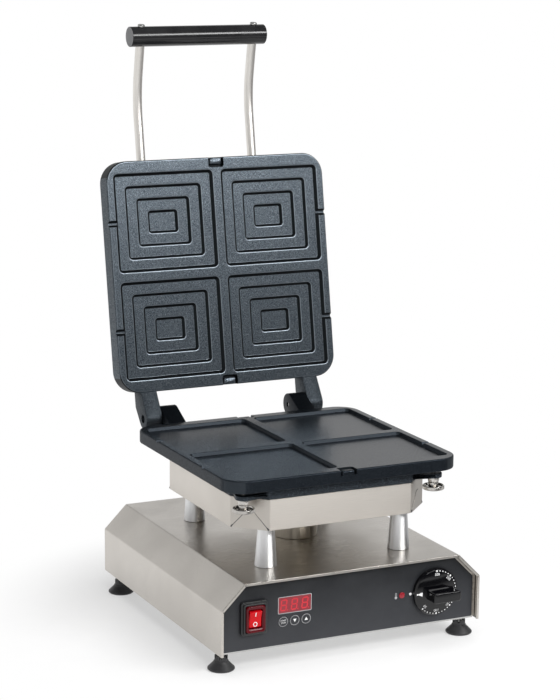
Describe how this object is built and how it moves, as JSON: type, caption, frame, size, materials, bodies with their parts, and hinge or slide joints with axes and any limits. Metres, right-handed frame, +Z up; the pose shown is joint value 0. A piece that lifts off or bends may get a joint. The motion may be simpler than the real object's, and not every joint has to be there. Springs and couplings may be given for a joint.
{
  "type": "jaffle iron",
  "caption": "Countertop jaffle iron: stepped cast baking plates, the upper in a hinged lid with a bar handle, on a folded steel base with a dial and a timer panel.",
  "frame": {"origin": "under the middle of the open machine, on the surface that its feet stand on", "axes": "+Z up, +X to the right as seen from the front, -Y towards the front panel"},
  "size_m": [0.3486, 0.499, 0.712],
  "materials": {
    "stainless": "brushed stainless sheet, folded",
    "steel_inner": "zinc-plated sheet and screws",
    "polished": "polished metal",
    "foil": "printed dark grey foil, satin",
    "black_plastic": "black moulded plastic",
    "gloss_black": "glossy black plastic",
    "red_lens": "red translucent plastic",
    "dark_red": "dark red translucent plastic",
    "coated_upper": "speckled blue-grey non-stick coating on cast aluminium",
    "coated_lower": "dark non-stick coating on cast aluminium",
    "cast_block": "bare cast aluminium, darkened by heat",
    "rubber_foot": "black rubber",
    "board_green": "circuit board",
    "brass": "turned brass",
    "wool": "mineral-fibre insulation",
    "ceramic": "ceramic"
  },
  "bodies": {
    "base": {"base_cover": "stainless", "lower_housing": "stainless", "wiring_duct": "stainless", "chassis": "steel_inner", "thermostat": "steel_inner", "lower_clamp_plate": "steel_inner", "hinge_pin_left": "steel_inner", "hinge_pin_right": "steel_inner", "panel_foil": "foil", "switch_frame": "black_plastic", "mains_gland": "black_plastic", "switch_body": "dark_red", "display_window": "dark_red", "indicator_lamp": "red_lens", "timer_board": "board_green", "lower_bulb": "brass", "terminal_block": "ceramic", "lower_link_gland": "rubber_foot", "leg_front_left": "polished", "leg_front_right": "polished", "leg_rear_left": "polished", "leg_rear_right": "polished", "lower_insulation": "wool", "lower_element": "cast_block", "lower_heater_block": "cast_block", "lower_plate": "coated_lower"},
    "lid": {"upper_plate": "coated_upper", "upper_heater_block": "cast_block", "upper_bulb": "brass", "upper_element": "cast_block", "upper_clamp_plate": "steel_inner", "upper_housing": "stainless", "upper_insulation": "wool", "upper_link_gland": "rubber_foot", "rod_block_left": "steel_inner", "rod_block_right": "steel_inner", "handle_rod_left": "polished", "handle_rod_right": "polished", "handle_screw_left": "polished", "handle_screw_right": "polished", "handle_grip": "gloss_black"},
    "rocker": {"rocker": "red_lens"},
    "dial": {"control_knob": "gloss_black", "thermostat_spindle": "brass"},
    "start_key": {"key_start": "foil"},
    "down_key": {"key_down": "foil"},
    "up_key": {"key_up": "foil"},
    "foot_front_left": {"foot_front_left": "rubber_foot", "foot_stud_front_left": "steel_inner"},
    "foot_front_right": {"foot_front_right": "rubber_foot", "foot_stud_front_right": "steel_inner"},
    "foot_rear_left": {"foot_rear_left": "rubber_foot", "foot_stud_rear_left": "steel_inner"},
    "foot_rear_right": {"foot_rear_right": "rubber_foot", "foot_stud_rear_right": "steel_inner"},
    "thumb_screw_lower_left": {"thumb_screw_lower_left": "polished"},
    "thumb_screw_lower_right": {"thumb_screw_lower_right": "polished"},
    "thumb_screw_upper_left": {"thumb_screw_upper_left": "polished"},
    "thumb_screw_upper_right": {"thumb_screw_upper_right": "polished"}
  },
  "joints": [
    {"name": "lid_hinge", "type": "hinge", "parent": "base", "child": "lid", "pos_m": [0, 0.11595, 0.2227], "axis": [1, 0, 0], "range_deg": [0, 99.9]},
    {"name": "switch_rocker", "type": "hinge", "parent": "base", "child": "rocker", "pos_m": [-0.127, -0.22445, 0.0641], "axis": [-1, 0, 0], "range_deg": [0, 16]},
    {"name": "thermostat_turn", "type": "hinge", "parent": "base", "child": "dial", "pos_m": [0.111, -0.22146, 0.0646], "axis": [0, 1, 0], "range_deg": [0, 270]},
    {"name": "start_press", "type": "slide", "parent": "base", "child": "start_key", "axis": [0, 1, 0], "range_m": [0, 0.0005], "stiffness_N_per_m": 300},
    {"name": "down_press", "type": "slide", "parent": "base", "child": "down_key", "axis": [0, 1, 0], "range_m": [0, 0.0005], "stiffness_N_per_m": 300},
    {"name": "up_press", "type": "slide", "parent": "base", "child": "up_key", "axis": [0, 1, 0], "range_m": [0, 0.0005], "stiffness_N_per_m": 300},
    {"name": "foot_front_left_turn", "type": "hinge", "parent": "base", "child": "foot_front_left", "pos_m": [-0.1582, -0.20236, 0], "axis": [0, 0, 1], "continuous": true},
    {"name": "foot_front_right_turn", "type": "hinge", "parent": "base", "child": "foot_front_right", "pos_m": [0.1582, -0.20236, 0], "axis": [0, 0, 1], "continuous": true},
    {"name": "foot_rear_left_turn", "type": "hinge", "parent": "base", "child": "foot_rear_left", "pos_m": [-0.1582, 0.10945, 0], "axis": [0, 0, 1], "continuous": true},
    {"name": "foot_rear_right_turn", "type": "hinge", "parent": "base", "child": "foot_rear_right", "pos_m": [0.1582, 0.10945, 0], "axis": [0, 0, 1], "continuous": true},
    {"name": "lower_screw_left_turn", "type": "hinge", "parent": "base", "child": "thumb_screw_lower_left", "pos_m": [-0.1251, -0.18965, 0.196], "axis": [0, 0, 1], "continuous": true},
    {"name": "lower_screw_right_turn", "type": "hinge", "parent": "base", "child": "thumb_screw_lower_right", "pos_m": [0.1251, -0.18965, 0.196], "axis": [0, 0, 1], "continuous": true},
    {"name": "upper_screw_left_turn", "type": "hinge", "parent": "lid", "child": "thumb_screw_upper_left", "pos_m": [-0.1251, 0.20789, 0.51687], "axis": [0, 0.9851, -0.1719], "continuous": true},
    {"name": "upper_screw_right_turn", "type": "hinge", "parent": "lid", "child": "thumb_screw_upper_right", "pos_m": [0.1251, 0.20789, 0.51687], "axis": [0, 0.9851, -0.1719], "continuous": true}
  ]
}
